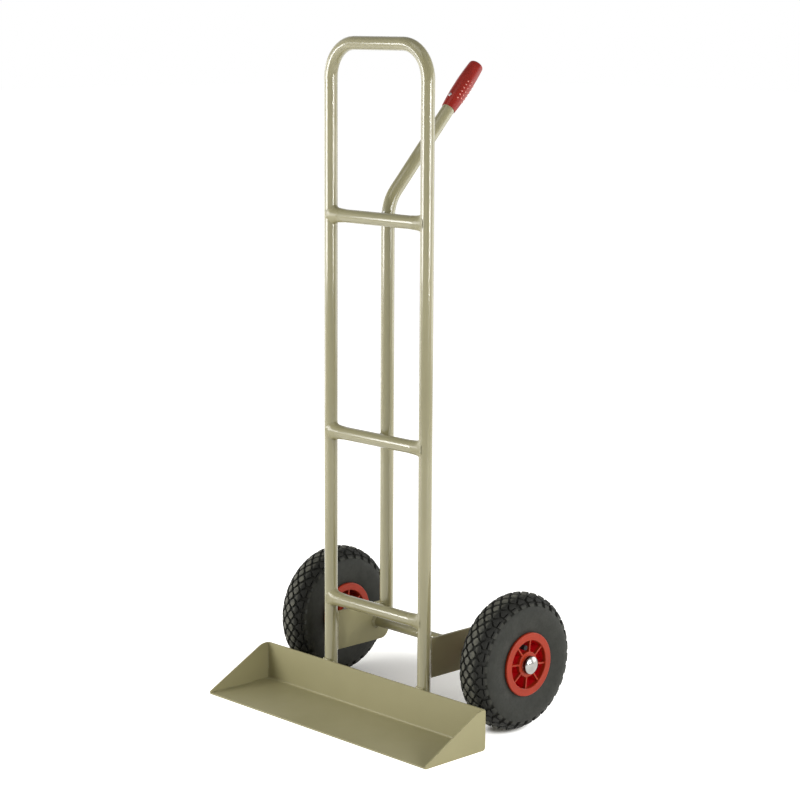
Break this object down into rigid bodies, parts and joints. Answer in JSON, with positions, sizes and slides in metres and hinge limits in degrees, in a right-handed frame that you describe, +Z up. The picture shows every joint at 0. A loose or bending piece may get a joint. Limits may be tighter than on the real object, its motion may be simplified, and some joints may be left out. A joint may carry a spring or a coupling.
{
  "type": "chair trolley",
  "caption": "Upright tubular hand trolley for stacked chairs, with a folded toe tray, pneumatic wheels on a fixed axle and a rear handle bent from its spine.",
  "frame": {"origin": "middle of the footprint, on the floor that the tray and the tyres stand on", "axes": "+X to the right as seen from the tray side, +Y to the rear where the handle is, +Z up"},
  "size_m": [0.602, 0.4302, 1.274],
  "materials": {
    "frame_paint": "gloss stone-coloured powder coat",
    "red_grip": "semi-gloss moulded vinyl",
    "rivet_alloy": "bright",
    "zinc_steel": "zinc plated",
    "bright_cap": "polished",
    "black_tyre": "matt moulded rubber",
    "black_rubber": "matt",
    "red_rim": "satin moulded plastic",
    "black_plastic": "matt",
    "white_plastic": "matt"
  },
  "bodies": {
    "frame": {"hoop_frame": "frame_paint", "lower_rung": "frame_paint", "middle_rung": "frame_paint", "upper_rung": "frame_paint", "handle_tube": "frame_paint", "handle_grip": "red_grip", "grip_rivet": "rivet_alloy", "tray": "frame_paint", "axle": "frame_paint", "left_gusset": "frame_paint", "left_side_plate": "frame_paint", "left_spacer": "zinc_steel", "left_inner_washer": "zinc_steel", "left_outer_washer": "zinc_steel", "left_star_ring": "zinc_steel", "left_axle_cap": "bright_cap", "right_gusset": "frame_paint", "right_side_plate": "frame_paint", "right_spacer": "zinc_steel", "right_inner_washer": "zinc_steel", "right_outer_washer": "zinc_steel", "right_star_ring": "zinc_steel", "right_axle_cap": "bright_cap"},
    "left_wheel": {"left_tyre": "black_tyre", "left_inner_tube": "black_rubber", "left_rim_outer_half": "red_rim", "left_rim_inner_half": "red_rim", "left_rim_screws": "zinc_steel", "left_valve_stem": "black_rubber", "left_valve_cap": "black_plastic", "left_bearing_rollers": "zinc_steel", "left_bearing_cage": "white_plastic"},
    "right_wheel": {"right_tyre": "black_tyre", "right_inner_tube": "black_rubber", "right_rim_outer_half": "red_rim", "right_rim_inner_half": "red_rim", "right_rim_screws": "zinc_steel", "right_valve_stem": "black_rubber", "right_valve_cap": "black_plastic", "right_bearing_rollers": "zinc_steel", "right_bearing_cage": "white_plastic"}
  },
  "joints": [
    {"name": "left_wheel_spin", "type": "hinge", "parent": "frame", "child": "left_wheel", "pos_m": [-0.247, 0.06913, 0.13], "axis": [1, 0, 0], "continuous": true},
    {"name": "right_wheel_spin", "type": "hinge", "parent": "frame", "child": "right_wheel", "pos_m": [0.247, 0.06913, 0.13], "axis": [1, 0, 0], "continuous": true}
  ]
}
